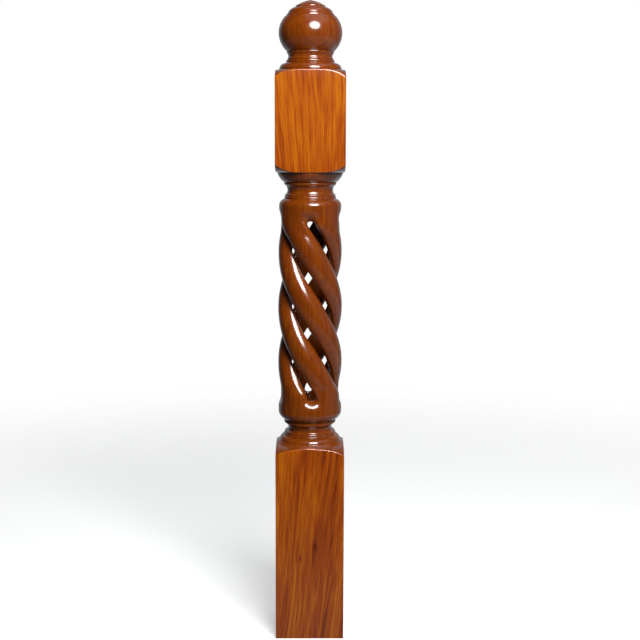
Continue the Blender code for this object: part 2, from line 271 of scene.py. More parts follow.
def number(name, description, default):
    """A plain number in the sidebar."""
    return FloatProperty(name=name, description=description, default=default)


def length(name, description, default):
    """A size that the sidebar shows as a length."""
    return FloatProperty(
        name=name,
        description=description,
        default=default,
        min=0.0,
        precision=4,
        unit="LENGTH",
        subtype="DISTANCE",
    )


def vector(name, description, default):
    """Three sizes that the sidebar shows as lengths."""
    return FloatVectorProperty(
        name=name,
        description=description,
        default=default,
        size=3,
        precision=4,
        unit="LENGTH",
        subtype="XYZ",
    )


def colour(name, description, hex_value):
    """A colour that the sidebar shows as a swatch, from its sRGB hex value."""
    return FloatVectorProperty(
        name=name,
        description=description,
        default=linear(hex_value),
        size=3,
        min=0.0,
        max=1.0,
        subtype="COLOR",
    )


def linear(hex_value):
    """Linear red, green and blue of an sRGB hex colour."""
    shares = [int(hex_value[place : place + 2], 16) / 255 for place in (1, 3, 5)]
    return tuple(s / 12.92 if s <= 0.04045 else ((s + 0.055) / 1.055) ** 2.4 for s in shares)


class PostSizes(bpy.types.PropertyGroup):
    """Sizes of the post that can be set by themselves."""

    block_width: length("Block width", "Width of the square stock", CAD_HIGH.x - CAD_LOW.x)
    edge_ease: length("Eased edge", "Rounding of the blocks' long edges", 0.0012)
    rail_arris: length("Rail arris", "Rounding between the rail block's faces and its turned ends", 0.0025)
    foot_arris: length("Foot arris", "Rounding between the foot block's faces and its turned end", 0.0022)
    crisp_ease: length("Softened corner", "Rounding that sanding leaves on a turned corner", 0.0005)
    foot_block: length("Foot block", "Height of the foot block at its corners", 0.361)
    rail_block: length("Rail block", "Height of the rail block at its corners", 0.1584)
    twist_length: length("Twist", "Length of the twist between its rims", 0.382)
    twist_pitch: length("Pitch", "Height in which a strand goes once round", 0.4265)
    strand_edge: length("Strand depth", "Depth under the faces at which a strand is widest", 0.0185)
    strand_wall: length("Strand wall", "Thickness from a strand's widest part in to the bore", 0.0074)
    strand_lip: length("Strand lip", "Rounding of a strand's inner edges", 0.0030)
    slot_width: length("Slot width", "Clear width between two strands", 0.0153)
    ball_height: length("Ball half height", "Half of the ball's height", 0.0505)


class WoodFinish(bpy.types.PropertyGroup):
    """Colours and sizes of the wood's figure and of the lacquer over it."""

    light: colour("Light wood", "Colour of the lightest streaks", "#C36C07")
    mid: colour("Wood", "Colour of most of the wood", "#A04606")
    dark: colour("Dark wood", "Colour of the darkest lines", "#621E02")
    turned: colour("Turned wood", "What the stain leaves of the colour on turned wood", "#C8CCC6")
    turned_figure: number("Turned figure", "Share of the figure's contrast left on turned wood", 0.45)
    ring_width: length("Ring width", "Width of one growth ring", 0.0038)
    ring_strength: number("Ring contrast", "How far rings shade the wood", 0.6)
    streak_strength: number("Streak contrast", "How far streaks shade the wood", 0.95)
    fibre_width: length("Fibre width", "Width of one bundle of fibres", 0.0022)
    fibre_strength: number("Fibre contrast", "How far fibres shade the wood", 0.75)
    cloud_strength: number("Cloud contrast", "How far broad patches shade the wood", 0.5)
    wander_size: vector("Wander size", "Size of the slow bends in the grain", (0.12, 0.12, 0.30))
    wander_reach: vector("Wander reach", "How far the slow bends move the grain", (0.016, 0.010, 0.0))
    bow_height: length("Bow height", "Height at which the middle of the grain runs straight up", 0.72)
    fan_height: length("Fan height", "Height at which the grain fans out most", 0.25)
    fan_length: length("Fan length", "Height from one fan of the grain to the next", 0.75)
    fan: number("Fan", "How much wider the grain spreads in a fan", 0.15)
    bow: number("Bow", "Curvature of the grain along the post, per metre", 0.0907)
    pith: vector("Pith", "Offset from the post's axis to the middle of the tree", (-0.030, -0.140, 0.0))
    lean: FloatVectorProperty(
        name="Lean",
        description="Lean of the tree's middle",
        default=(0.012, 0.0, 0.0),
        size=3,
        subtype="EULER",
    )
    lacquer_roughness: FloatProperty(
        name="Lacquer roughness",
        description="Roughness of the polished lacquer",
        default=0.145,
        min=0.0,
        max=1.0,
    )


class StudioSetup(bpy.types.PropertyGroup):
    """The floor, lights and camera."""

    camera_height: length("Camera height", "Height of the camera above the floor", 0.9568)
    camera_distance: length("Camera distance", "Distance from the post's axis to the camera", 2.2867)
    camera_pitch: FloatProperty(
        name="Camera pitch",
        description="How far the camera looks down",
        default=math.radians(7.51),
        subtype="ANGLE",
    )
    focal_pixels: number("Focal length", "Focal length in pixels of a 640 pixel frame", 1207.8)
    key_power: number("Key light", "Power of the key light in watts", 82.0)
    key_size: length("Key size", "Width of the round key light", 1.3)
    key_place: vector("Key place", "Where the key light stands", (0.556, -1.817, 2.19))
    key_target: vector("Key target", "Where the key light points", (0.0, 0.0, 0.9))
    floor: colour("Floor", "Colour of the pale floor", "#F2F2F2")
    floor_radius: length("Floor radius", "How far the floor reaches", 2.4)
    floor_glow: number("Floor glow", "Light from under the floor", 0.5)
    surround: colour("Surround", "Colour of the soft light from all round", "#F4FAFF")
    front_glow: number("Front glow", "Light from in front of the post", 0.025)
    back_glow: number("Back glow", "Light from the wall behind the post", 0.3)
    top_glow: number("Top glow", "Light from above the post", 0.6)
    side_glow: number("Side glow", "Light from the right of the post", 0.1)
    floor_light: number("Floor light", "Light thrown up by the floor", 0.17)


class PostForm:
    """Heights, radii and profiles of the post, worked out from the sizes in the sidebar."""

    def __init__(self, sizes):
        self.sizes = sizes
        self.half = sizes.block_width / 2
        self.corner = self.half * math.sqrt(2)
        self.foot_corner = sizes.foot_block
        self.foot_apex = self.foot_corner + FOOT_SHOULDER_RISE
        self.lower_neck_foot = self.foot_apex + FILLET + FOOT_OVOLO_HEIGHT
        self.lower_neck_top = self.lower_neck_foot + neck_height(LOWER_NECK)
        self.lower_rim = self.lower_neck_top + RIM_UNDERSIDE_HEIGHT
        self.twist_foot = self.lower_rim + LOWER_COLLAR
        self.twist_middle = self.twist_foot + sizes.twist_length / 2
        self.twist_top = self.twist_foot + sizes.twist_length
        self.upper_rim = self.twist_top + UPPER_COLLAR
        self.upper_neck_foot = self.upper_rim + UPPER_OVOLO_HEIGHT
        self.upper_neck_top = self.upper_neck_foot + neck_height(UPPER_NECK)
        self.rail_lower_apex = self.upper_neck_top + RAIL_UNDERSIDE_HEIGHT
        self.rail_lower_corner = self.rail_lower_apex + RAIL_SHOULDER_RISE
        self.rail_upper_corner = self.rail_lower_corner + sizes.rail_block
        self.rail_upper_apex = self.rail_upper_corner + RAIL_SHOULDER_RISE
        self.finial_ovolo_foot = self.rail_upper_apex + 2 * FILLET
        self.finial_neck_foot = self.finial_ovolo_foot + FINIAL_OVOLO_HEIGHT
        self.finial_neck_top = self.finial_neck_foot + neck_height(FINIAL_NECK)
        self.ball_middle = self.finial_neck_top + self.ball_rise(BALL_FOOT_DEPTH)
        self.cap_foot = self.ball_middle + self.ball_rise(BALL_CROWN_DEPTH)
        self.rail_upper_end = BlockEnd(
            self.radius(FINIAL_FOOT_DEPTH + FINIAL_UNDERCUT),
            self.rail_upper_apex + FINIAL_UNDERCUT,
            self.rail_upper_apex,
            self.rail_upper_corner,
            RAIL_SHOULDER_POWER,
            sizes.rail_arris,
        )
        self.rail_lower_end = BlockEnd(
            self.radius(RAIL_LEDGE_DEPTH),
            self.rail_lower_apex,
            self.rail_lower_apex,
            self.rail_lower_corner,
            RAIL_SHOULDER_POWER,
            sizes.rail_arris,
        )
        self.foot_end = BlockEnd(
            self.radius(FOOT_LEDGE_DEPTH),
            self.foot_apex + FOOT_LEDGE_RISE,
            self.foot_apex,
            self.foot_corner,
            FOOT_SHOULDER_POWER,
            sizes.foot_arris,
        )

    def radius(self, depth):
        """Radius of a turned surface that lies this far under the block's faces."""
        return self.half - depth

    def ball_rise(self, depth):
        """Height above the ball's middle at which its surface lies at this depth."""
        share = self.radius(depth) / self.radius(BALL_DEPTH)
        return self.sizes.ball_height * math.sqrt(1 - share**2)

    def neck_strokes(self, neck, top):
        """Bead, cove, step and collar of one neck, with a quirk cut between them."""
        z = top
        strokes = [(self.radius(neck.bead_depth) - neck.quirk, z, 0)]
        z -= neck.quirk
        strokes.append((self.radius(neck.bead_depth), z, 0))
        z -= neck.bead_height
        strokes.append((self.radius(neck.bead_depth), z, BEAD_BULGE))
        z -= neck.quirk
        strokes.append((self.radius(neck.cove_depth), z - neck.quirk, 0))
        z -= neck.quirk + neck.cove_height
        strokes.append((self.radius(neck.cove_depth) - neck.cove_flare, z, -neck.cove_hollow))
        z -= neck.quirk
        strokes.append((self.radius(neck.step_depth), z, 0))
        z -= neck.step_height
        strokes.append((self.radius(neck.step_depth), z, STEP_BULGE))
        z -= neck.quirk
        strokes.append((self.radius(neck.collar_depth), z, 0))
        z -= neck.collar_height
        strokes.append((self.radius(neck.collar_depth), z, STEP_BULGE))
        return strokes

    def square_reach(self, angle):
        """Distance from the axis to the square's eased outline, at this angle from a face's middle."""
        off = abs(math.remainder(angle, math.pi / 2))
        inset = self.half - self.sizes.edge_ease
        if math.tan(off) * self.half <= inset:
            return self.half / math.cos(off)
        along = inset * (math.cos(off) + math.sin(off))
        return along + math.sqrt(max(0, along**2 - 2 * inset**2 + self.sizes.edge_ease**2))

    def shoulder_height(self, end, away):
        """Height of a block end's turned shoulder at this distance from the axis."""
        if away <= self.half:
            share = (self.half - away) / (self.half - end.radius)
            return end.apex + (end.height - end.apex) * share
        share = (away - self.half) / (self.corner - self.half)
        return end.apex + (end.corner - end.apex) * share**end.power

    def block_end_section(self, end, angle):
        """Section of a block's end at one angle: over the shoulder, round the arris, on to the face."""
        reach = self.square_reach(angle)
        crest = Vector((reach, self.shoulder_height(end, reach)))
        inner = reach - end.ease
        back = Vector((inner, self.shoulder_height(end, inner))) - crest
        down = Vector((0, math.copysign(end.ease, end.corner - end.apex)))
        start = crest + back.normalized() * min(end.ease, back.length)
        start.y = self.shoulder_height(end, start.x)
        points = []
        for row in range(SHOULDER_ROWS):
            away = end.radius + (start.x - end.radius) * row / SHOULDER_ROWS
            points.append(Vector((away, self.shoulder_height(end, away))))
        for row in range(ARRIS_ROWS + 1):
            share = row / ARRIS_ROWS
            points.append(start.lerp(crest, share).lerp(crest.lerp(crest + down, share), share))
        points.append(Vector((reach, end.corner + down.y * ARRIS_OVERRUN)))
        return points

    def cap_strokes(self):
        """Button, sloping plate and ring on the crown of the ball."""
        ring_top = self.cap_foot + CAP_RING_HEIGHT
        plate_top = ring_top + CAP_PLATE_HEIGHT
        slope_top = plate_top + CAP_SLOPE_HEIGHT
        button_foot = slope_top + CAP_LEDGE / 2
        button_edge = self.radius(CAP_BUTTON_DEPTH)
        return [
            (0, button_foot + CAP_BUTTON_EDGE + CAP_BUTTON_HEIGHT, 0),
            (button_edge, button_foot + CAP_BUTTON_EDGE, CAP_BULGE),
            (button_edge, button_foot, 0),
            (button_edge + CAP_LEDGE, slope_top, 0),
            (self.radius(CAP_PLATE_DEPTH), plate_top, CAP_BULGE),
            (self.radius(CAP_PLATE_DEPTH), ring_top, 0),
            (self.radius(CAP_RING_DEPTH) - CAP_LEDGE / 2, ring_top - CAP_LEDGE / 2, 0),
            (self.radius(CAP_RING_DEPTH), self.cap_foot, BEAD_BULGE),
        ]

    def ball_points(self):
        """The squashed ball between its cap and its neck."""
        half_height = self.sizes.ball_height
        top = math.asin(self.ball_rise(BALL_CROWN_DEPTH) / half_height)
        foot = -math.asin(self.ball_rise(BALL_FOOT_DEPTH) / half_height)
        points = []
        for row in range(BALL_ROWS + 1):
            angle = top + (foot - top) * row / BALL_ROWS
            across = self.radius(BALL_DEPTH) * math.cos(angle)
            points.append(Vector((across, self.ball_middle + half_height * math.sin(angle))))
        return points

    def finial_profile(self):
        """Everything turned above the rail block, from the top of the cap down."""
        finial_foot = self.radius(FINIAL_FOOT_DEPTH)
        below_ball = self.neck_strokes(FINIAL_NECK, self.finial_neck_top)
        below_ball += [
            (self.radius(FINIAL_OVOLO_DEPTH), self.finial_neck_foot, 0),
            (finial_foot, self.finial_ovolo_foot, FINIAL_OVOLO_BULGE),
            (self.rail_upper_end.radius, self.rail_upper_end.height, 0),
        ]
        return trace(self.cap_strokes()) + self.ball_points() + trace(below_ball)

    def upper_neck_profile(self):
        """Everything turned between the rail block and the twist, from the top down."""
        strokes = [
            (self.rail_lower_end.radius, self.rail_lower_end.height, 0),
            (self.rail_lower_end.radius, self.rail_lower_apex - FILLET, 0),
            (self.radius(UNDERSIDE_DEPTH), self.upper_neck_top, RAIL_UNDERSIDE_BULGE),
        ]
        strokes += self.neck_strokes(UPPER_NECK, self.upper_neck_top)
        strokes += [
            (self.radius(UPPER_OVOLO_DEPTH), self.upper_neck_foot, 0),
            (self.radius(UPPER_RIM_DEPTH), self.upper_rim, UPPER_OVOLO_BULGE),
            (self.radius(UPPER_RIM_DEPTH), self.twist_top, 0),
        ]
        return trace(strokes)

    def lower_neck_profile(self):
        """Everything turned between the twist and the foot block, from the top down."""
        strokes = [
            (self.radius(LOWER_RIM_DEPTH), self.twist_foot, 0),
            (self.radius(LOWER_RIM_DEPTH), self.lower_rim, 0),
            (self.radius(UNDERSIDE_DEPTH), self.lower_neck_top, RIM_UNDERSIDE_BULGE),
        ]
        strokes += self.neck_strokes(LOWER_NECK, self.lower_neck_top)
        ledge = self.foot_end
        strokes += [
            (self.radius(FOOT_OVOLO_DEPTH), self.lower_neck_foot, 0),
            (ledge.radius - FOOT_LEDGE_QUIRK, ledge.height + FOOT_LEDGE_QUIRK, FOOT_OVOLO_BULGE),
            (ledge.radius, ledge.height, 0),
        ]
        return trace(strokes)

    def strand_edge(self):
        """Radius at which a strand is widest and its rounded back begins."""
        return self.radius(self.sizes.strand_edge)

    def bore_radius(self):
        """Radius of the hollow core, inside the strands' inner walls."""
        return self.strand_edge() - self.sizes.strand_wall

    def slot_reach(self, up):
        """Height from the middle of the twist to the upper or the lower end of the slots."""
        return self.sizes.twist_length / 2 - (UPPER_DISH if up > 0 else LOWER_DISH)

    def bore_dome(self, sign):
        """Profile of the bore's rounded end, above the slots or below them."""
        rim = self.twist_middle + sign * (self.slot_reach(sign) + BORE_OVERRUN)
        start = Vector((0, rim + sign * BORE_DOME))
        return [start] + arc(start, Vector((self.bore_radius(), rim)), sign * BORE_DOME_BULGE)

    def fullness(self, across, up):
        """Exponent of the rounding beside a slot: wide beyond its ends, tight at their corners."""
        end = UPPER_FULLNESS if up > 0 else LOWER_FULLNESS
        dish = UPPER_DISH_FULLNESS if up > 0 else LOWER_DISH_FULLNESS
        if abs(up) == 1:
            return dish + (end - dish) * across**2
        from_end = (1 - abs(up)) * self.slot_reach(up)
        share = max(0, 1 - from_end / FADE_LENGTH)
        return 1 + (end - 1) * smooth(share)

    def turn_at(self, height):
        """Angle of the strands at a height. They wind left-handed and straighten at both ends."""
        offset = height - self.twist_middle
        straight = self.sizes.twist_length / 2 - STRAIGHT_END
        easing = straight - EASE_LENGTH
        distance = min(abs(offset), straight)
        wound = distance
        if distance > easing:
            wound -= (distance - easing) ** 2 / (2 * EASE_LENGTH)
        return TWIST_PHASE - math.copysign(wound, offset) * 2 * math.pi / self.sizes.twist_pitch

    def blank_radius(self, height):
        """Radius of the turned blank along the twist: a slight swell between its two rims."""
        share = (height - self.twist_foot) / self.sizes.twist_length
        depths = (LOWER_RIM_DEPTH, MIDDLE_DEPTH, UPPER_RIM_DEPTH)
        foot, middle, top = (self.radius(depth) for depth in depths)
        swell = 4 * (middle - (foot + top) / 2) * share * (1 - share)
        return foot + (top - foot) * share + swell

    def panel_point(self, step, ring):
        """A point of one slot's panel: its angle from the slot's middle, its height and its radius.

        Steps run round the slot. Rings run from the crowns of the strands on both sides of it,
        over their rounded backs, through the wall, over the inner lip and round the bore.
        """
        across, up = around(step)
        edge = self.strand_edge()
        bore = self.bore_radius()
        lip = self.sizes.strand_lip
        reach = self.sizes.twist_length / 2
        share = 0
        widening = 0
        wall = edge
        rounding = 0
        if ring <= OUTER_RINGS:
            start = UPPER_FLANK + (LOWER_FLANK - UPPER_FLANK) * (1 + across) / 2
            rounding = math.pi / 2 - (math.pi / 2 - start) * ring / OUTER_RINGS
            share = max(0, 1 - math.cos(rounding) / math.cos(start)) ** self.fullness(across, up)
        elif ring <= OUTER_RINGS + WALL_RINGS:
            wall = edge - (edge - bore - lip) * (ring - OUTER_RINGS) / WALL_RINGS
        else:
            past = min(1, (ring - OUTER_RINGS - WALL_RINGS) / LIP_RINGS) * math.pi / 2
            wall = bore + lip * (1 - math.sin(past))
            widening = lip * (1 - math.cos(past))
            share = max(0, (ring - OUTER_RINGS - WALL_RINGS - LIP_RINGS) / BORE_RINGS)
            reach = self.slot_reach(up) + BORE_OVERRUN
        half_angle = math.asin((self.sizes.slot_width / 2 + widening) / wall)
        slot_angle = half_angle * across
        slot_height = up * (self.slot_reach(up) - SLOT_END + widening)
        if abs(up) == 1:
            slot_angle = half_angle * math.sin(across * math.pi / 2)
            slot_height += up * SLOT_END * math.cos(across * math.pi / 2)
        angle = slot_angle + (math.pi / STRANDS * across - slot_angle) * share
        height = self.twist_middle + slot_height + (up * reach - slot_height) * share
        if rounding:
            rise = (math.sin(rounding) - math.sin(start)) / (1 - math.sin(start))
            wall += (self.blank_radius(height) - wall) * rise
        return angle, height, wall


def neck_height(neck):
    """Height of a neck's mouldings between the bodies above and below it."""
    parts = (neck.bead_height, neck.cove_height, neck.step_height, neck.collar_height)
    return sum(parts) + QUIRKS_PER_NECK * neck.quirk


def arc(start, end, bulge):
    """Points after start on a circular arc to end, swelling outwards by bulge on the way down."""
    chord = end - start
    if bulge == 0:
        return [end]
    circle_radius = (chord.length**2 / 4 + bulge**2) / (2 * abs(bulge))
    sweep = 2 * math.asin(min(1.0, chord.length / (2 * circle_radius)))
    steps = max(2, math.ceil(sweep / ARC_STEP))
    outward = Vector((-chord.y, chord.x)).normalized() * math.copysign(1, bulge)
    centre = (start + end) / 2 - outward * (circle_radius - abs(bulge))
    points = []
    for step in range(1, steps + 1):
        angle = sweep * (step / steps - 0.5)
        along = chord.normalized() * circle_radius * math.sin(angle)
        points.append(centre + along + outward * circle_radius * math.cos(angle))
    return points


def trace(strokes):
    """Profile points from strokes of (radius, height, bulge), which run from the top down."""
    points = [Vector(strokes[0][:2])]
    for stroke_radius, height, bulge in strokes[1:]:
        points += arc(points[-1], Vector((stroke_radius, height)), bulge)
    return points


def softened(points, ease):
    """The same profile with its crisp corners rounded, as sanding and lacquer leave them."""
    kept = [points[0]]
    for before, corner, after in zip(points, points[1:], points[2:]):
        back = before - corner
        ahead = after - corner
        if back.length < WELD or ahead.length < WELD:
            continue
        if math.pi - back.angle(ahead) < CRISP_TURN:
            kept.append(corner)
            continue
        reach = min(ease, back.length * EASE_SHARE, ahead.length * EASE_SHARE)
        start = corner + back.normalized() * reach
        end = corner + ahead.normalized() * reach
        for step in range(EASE_STEPS + 1):
            share = step / EASE_STEPS
            kept.append(start.lerp(corner, share).lerp(corner.lerp(end, share), share))
    kept.append(points[-1])
    return kept


def around(step):
    """Place of a step round a slot's panel, across it and up it, as shares from -1 to 1."""
    columns = TURNING_STEPS // STRANDS
    if step <= columns:
        return -1 + 2 * step / columns, 1
    step -= columns
    if step <= STRAND_ROWS:
        return 1, 1 - 2 * step / STRAND_ROWS
    step -= STRAND_ROWS
    if step <= columns:
        return 1 - 2 * step / columns, -1
    return -1, -1 + 2 * (step - columns) / STRAND_ROWS


def smooth(share):
    """A share from 0 to 1 that starts and ends gently."""
    return share * share * (3 - 2 * share)


def crowded(angle):
    """An angle moved towards the nearest corner of the square, where the mesh has to be finer."""
    return angle + CORNER_CROWDING / 4 * math.sin(4 * angle)


def turn_profile(bm, points, turn, square_height=None, round_height=None):
    """A turned surface: the profile spun once round the post's axis.

    Its columns start at this turn from the front. Where two heights are given, they slide round
    between the two, from even spacing at the round height to crowded corners at the square height.
    """
    seam = -math.pi / 2
    step = 2 * math.pi / TURNING_STEPS
    known = len(bm.verts)
    verts = []
    for point in points:
        angle = seam + turn
        verts.append(bm.verts.new((point.x * math.cos(angle), point.x * math.sin(angle), point.y)))
    edges = [bm.edges.new(pair) for pair in zip(verts, verts[1:])]
    bmesh.ops.spin(
        bm,
        geom=verts + edges,
        cent=(0, 0, 0),
        axis=(0, 0, 1),
        angle=2 * math.pi,
        steps=TURNING_STEPS,
        use_merge=True,
    )
    if square_height is None:
        return
    for vert in list(bm.verts)[known:]:
        away = math.hypot(vert.co.x, vert.co.y)
        share = (vert.co.z - round_height) / (square_height - round_height)
        share = smooth(min(1, max(0, share)))
        angle = math.atan2(vert.co.y, vert.co.x) - seam
        column = round((angle - turn) / step) + round(turn / step)
        angle += (crowded(column * step) - angle) * share
        vert.co.x = away * math.cos(seam + angle)
        vert.co.y = away * math.sin(seam + angle)


def wrap_block(bm, sections):
    """A block: a sheet wrapped round the post through one section for each of its columns."""
    rows = len(sections[0]) - 1
    sheet = bmesh.ops.create_grid(bm, x_segments=TURNING_STEPS, y_segments=rows, size=1)
    for vert in sheet["verts"]:
        column = round((vert.co.x + 1) / 2 * TURNING_STEPS) % TURNING_STEPS
        row = round((1 - vert.co.y) / 2 * rows)
        angle = crowded(column * 2 * math.pi / TURNING_STEPS) - math.pi / 2
        point = sections[column][row]
        vert.co = (point.x * math.cos(angle), point.x * math.sin(angle), point.y)


def block_sections(form, upper_end, lower_end):
    """Sections of a block from its upper end to its lower end, or to the floor where it has none."""
    sections = []
    for column in range(TURNING_STEPS):
        angle = crowded(column * 2 * math.pi / TURNING_STEPS)
        top = form.block_end_section(upper_end, angle)
        if lower_end:
            foot = form.block_end_section(lower_end, angle)[::-1]
        else:
            reach = form.square_reach(angle)
            ease = form.sizes.crisp_ease
            foot = [Vector((reach, ease)), Vector((reach - ease, 0)), Vector((0, 0))]
        middle = [top[-1].lerp(foot[0], row / FACE_ROWS) for row in range(1, FACE_ROWS)]
        sections.append(top + middle + foot)
    return sections


def carve_slot(bm, form, slot):
    """One slot with the halves of the two strands beside it, from a sheet wrapped round the post."""
    steps = 2 * (STRAND_ROWS + TURNING_STEPS // STRANDS)
    rings = OUTER_RINGS + WALL_RINGS + LIP_RINGS + BORE_RINGS
    sheet = bmesh.ops.create_grid(bm, x_segments=steps, y_segments=rings, size=1)
    for vert in sheet["verts"]:
        step = round((vert.co.x + 1) / 2 * steps) % steps
        ring = round((vert.co.y + 1) / 2 * rings)
        angle, height, away = form.panel_point(step, ring)
        angle += (slot + 0.5) * 2 * math.pi / STRANDS + form.turn_at(height) - math.pi / 2
        vert.co = (away * math.cos(angle), away * math.sin(angle), height)


def mark_planed(mesh, form):
    """Marks the four planed faces of the blocks, which take the stain lighter than turned wood."""
    marks = mesh.attributes.new(PLANED, "FLOAT", "FACE")
    for face in mesh.polygons:
        out = max(abs(face.center.x), abs(face.center.y))
        level = max(abs(face.normal.x), abs(face.normal.y))
        marks.data[face.index].value = float(out > form.half - PLANED_REACH and level > PLANED_LEVEL)


def build_post_mesh(form):
    """The whole post as one closed mesh: turned lengths, carved twist, bore and square blocks."""
    top_turn = form.turn_at(form.twist_top)
    foot_turn = form.turn_at(form.twist_foot)
    ease = form.sizes.crisp_ease
    bm = bmesh.new()
    finial = softened(form.finial_profile(), ease)
    turn_profile(bm, finial, 0, form.rail_upper_end.height, form.finial_neck_top)
    wrap_block(bm, block_sections(form, form.rail_upper_end, form.rail_lower_end))
    neck = softened(form.upper_neck_profile(), ease)
    turn_profile(bm, neck, top_turn, form.rail_lower_apex - FILLET, form.upper_neck_foot)
    for slot in range(STRANDS):
        carve_slot(bm, form, slot)
    turn_profile(bm, form.bore_dome(1), top_turn)
    turn_profile(bm, form.bore_dome(-1), foot_turn)
    neck = softened(form.lower_neck_profile(), ease)
    turn_profile(bm, neck, foot_turn, form.foot_end.height, form.lower_neck_top)
    wrap_block(bm, block_sections(form, form.foot_end, None))
    bmesh.ops.remove_doubles(bm, verts=bm.verts, dist=WELD)
    bmesh.ops.recalc_face_normals(bm, faces=bm.faces)
    open_edges = [edge for edge in bm.edges if not edge.is_manifold]
    if open_edges:
        raise RuntimeError(f"the post's mesh has {len(open_edges)} open edges")
    mesh = bpy.data.meshes.new("newel_post_turned")
    bm.to_mesh(mesh)
    bm.free()
    mark_planed(mesh, form)
    mesh.shade_smooth()
    mesh.set_sharp_from_angle(angle=SHARP_ANGLE)
    return mesh


def add_node(tree, kind, inputs=None, output=0, **settings):
    """Adds a node with its settings, fills its inputs with values or links, and gives an output."""
    node = tree.nodes.new("ShaderNode" + kind)
    for name, value in settings.items():
        setattr(node, name, value)
    for name, value in (inputs or {}).items():
        socket = node.inputs[name]
        if isinstance(value, bpy.types.NodeSocket):
            tree.links.new(value, socket)
        else:
            socket.default_value = value
    return node.outputs[output] if len(node.outputs) else None


def stretched_noise(tree, place, size, detail, seed, output="Fac"):
    """Noise from 0 to 1 whose features have this size in metres across, deep and along the post."""
    scale = tuple(1 / side for side in size)
    stretch = {"Vector": place, "Location": (seed, seed, seed), "Scale": scale}
    moved = add_node(tree, "Mapping", stretch)
    grain = {"Vector": moved, "Scale": 1.0, "Detail": detail, "Roughness": PATTERN_ROUGHNESS}
    return add_node(tree, "TexNoise", grain, output)


def bent_grain(tree, place, finish):
    """How far across, deep and up each point lies in grain that wanders, bows and fans out."""
    middle = (NOISE_MIDDLE,) * 3
    wander = stretched_noise(tree, place, finish.wander_size, BROAD_DETAIL, WANDER_SEED, "Color")
    centred = add_node(tree, "VectorMath", {0: wander, 1: middle}, operation="SUBTRACT")
    reach = {0: centred, 1: finish.wander_reach}
    shift = add_node(tree, "VectorMath", reach, operation="MULTIPLY")
    moved = add_node(tree, "VectorMath", {0: place, 1: shift}, operation="ADD")
    side, deep, height = add_node(tree, "SeparateXYZ", {"Vector": moved}).node.outputs
    above = add_node(tree, "Math", {0: height, 1: finish.bow_height}, operation="SUBTRACT")
    squared = add_node(tree, "Math", {0: above, 1: above}, operation="MULTIPLY")
    bow = add_node(tree, "Math", {0: squared, 1: finish.bow}, operation="MULTIPLY")
    past = add_node(tree, "Math", {0: height, 1: finish.fan_height}, operation="SUBTRACT")
    turn = 2 * math.pi / finish.fan_length
    phase = add_node(tree, "Math", {0: past, 1: turn}, operation="MULTIPLY")
    wave = add_node(tree, "Math", {0: phase}, operation="SINE")
    narrowing = {0: wave, 1: -finish.fan, 2: 1.0}
    spread = add_node(tree, "Math", narrowing, operation="MULTIPLY_ADD")
    across = add_node(tree, "Math", {0: side, 1: spread, 2: bow}, operation="MULTIPLY_ADD")
    return across, deep, height


def grain_place(tree, finish):
    """Where each point lies in the tree the post was sawn from, and how far a knot darkens it.

    The grain bows along the post, fans out upwards in both blocks, wanders a little and parts
    round two pin knots in the foot block.
    """
    place = add_node(tree, "TexCoord", output="Object")
    across, deep, height = bent_grain(tree, place, finish)
    shade = 0.0
    for knot in PIN_KNOTS:
        offset = add_node(tree, "VectorMath", {0: place, 1: knot.place}, operation="SUBTRACT")
        scaled = add_node(tree, "VectorMath", {0: offset, 1: knot.reach}, operation="DIVIDE")
        itself = {0: scaled, 1: scaled}
        squared = add_node(tree, "VectorMath", itself, "Value", operation="DOT_PRODUCT")
        near = add_node(tree, "Math", {0: KNOT_FADE, 1: squared}, operation="POWER")
        aside = add_node(tree, "SeparateXYZ", {"Vector": scaled}, "X")
        pull = add_node(tree, "Math", {0: near, 1: aside}, operation="MULTIPLY")
        pushed = {0: pull, 1: -knot.push, 2: across}
        across = add_node(tree, "Math", pushed, operation="MULTIPLY_ADD")
        core = add_node(tree, "Math", {0: near, 1: KNOT_CORE}, operation="POWER")
        shade = add_node(tree, "Math", {0: core, 1: shade}, operation="ADD")
    return add_node(tree, "CombineXYZ", {"X": across, "Y": deep, "Z": height}), shade


def growth_rings(tree, grain, finish):
    """Rings round the leaning middle of the tree, each with its own shade from 0 to 1."""
    from_axis = {"Vector": grain, "Location": finish.pith, "Rotation": finish.lean}
    from_pith = add_node(tree, "Mapping", from_axis)
    flat = add_node(tree, "VectorMath", {0: from_pith, 1: (1, 1, 0)}, operation="MULTIPLY")
    away = add_node(tree, "VectorMath", {0: flat}, "Value", operation="LENGTH")
    ring = add_node(tree, "Math", {0: away, 1: finish.ring_width}, operation="DIVIDE")
    shades = {"W": ring, "Scale": 1.0, "Detail": RING_DETAIL, "Roughness": RING_ROUGHNESS}
    return add_node(tree, "TexNoise", shades, "Fac", noise_dimensions="1D")


